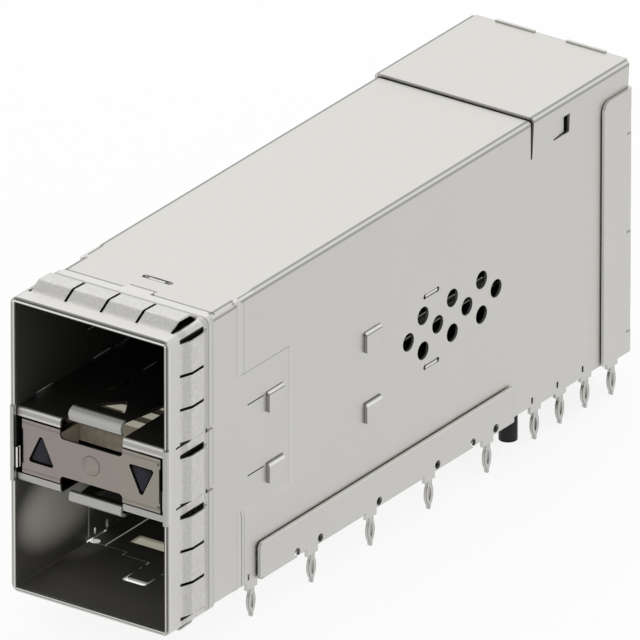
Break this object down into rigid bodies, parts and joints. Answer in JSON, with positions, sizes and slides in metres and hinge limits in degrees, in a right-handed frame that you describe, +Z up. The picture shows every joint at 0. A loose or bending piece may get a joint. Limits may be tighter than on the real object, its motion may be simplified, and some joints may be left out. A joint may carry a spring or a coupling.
{
  "type": "sfp cage",
  "caption": "Stacked two-port cage for small pluggable transceivers, with a spring-finger gasket round its front and press-fit pins along its base.",
  "frame": {"origin": "middle of the cage's width and length, at the height of the press-fit pins' tips", "axes": "+X across the width to the right seen from the front, +Y from the ports' mouths to the rear cover, +Z up away from the circuit board"},
  "size_m": [0.0156, 0.0628, 0.0283],
  "materials": {
    "plated_sheet": "matte nickel plating on rolled copper alloy sheet",
    "gasket_strip": "bright nickel plated spring strip",
    "plate_sheet": "darker satin sheet",
    "clear_plastic": "clear moulded light pipe",
    "insulating_film": "thin cream insulating film",
    "black_plastic": "moulded glass-filled plastic",
    "terminal_alloy": "plated copper alloy terminals"
  },
  "bodies": {
    "root": {"cage_shell": "plated_sheet", "emi_gasket": "gasket_strip", "bottom_plate": "plated_sheet", "rear_cover": "plated_sheet", "upper_shelf": "plated_sheet", "lower_shelf": "plated_sheet", "front_plate": "plate_sheet", "light_pipe_left": "clear_plastic", "light_pipe_right": "clear_plastic", "light_pipe_bridge": "clear_plastic", "insulator_film": "insulating_film", "connector_housing": "black_plastic", "tail_organiser": "black_plastic", "contact_wafer_1": "black_plastic", "contact_wafer_2": "black_plastic", "contact_wafer_3": "black_plastic", "contact_wafer_4": "black_plastic", "contact_wafer_5": "black_plastic", "contact_wafer_6": "black_plastic", "contact_wafer_7": "black_plastic", "contact_wafer_8": "black_plastic", "contact_wafer_9": "black_plastic", "contact_wafer_10": "black_plastic", "lead_frame_1": "terminal_alloy", "lead_frame_2": "terminal_alloy", "lead_frame_3": "terminal_alloy", "lead_frame_4": "terminal_alloy", "lead_frame_5": "terminal_alloy", "lead_frame_6": "terminal_alloy", "lead_frame_7": "terminal_alloy", "lead_frame_8": "terminal_alloy", "lead_frame_9": "terminal_alloy", "lead_frame_10": "terminal_alloy"}
  },
  "joints": []
}
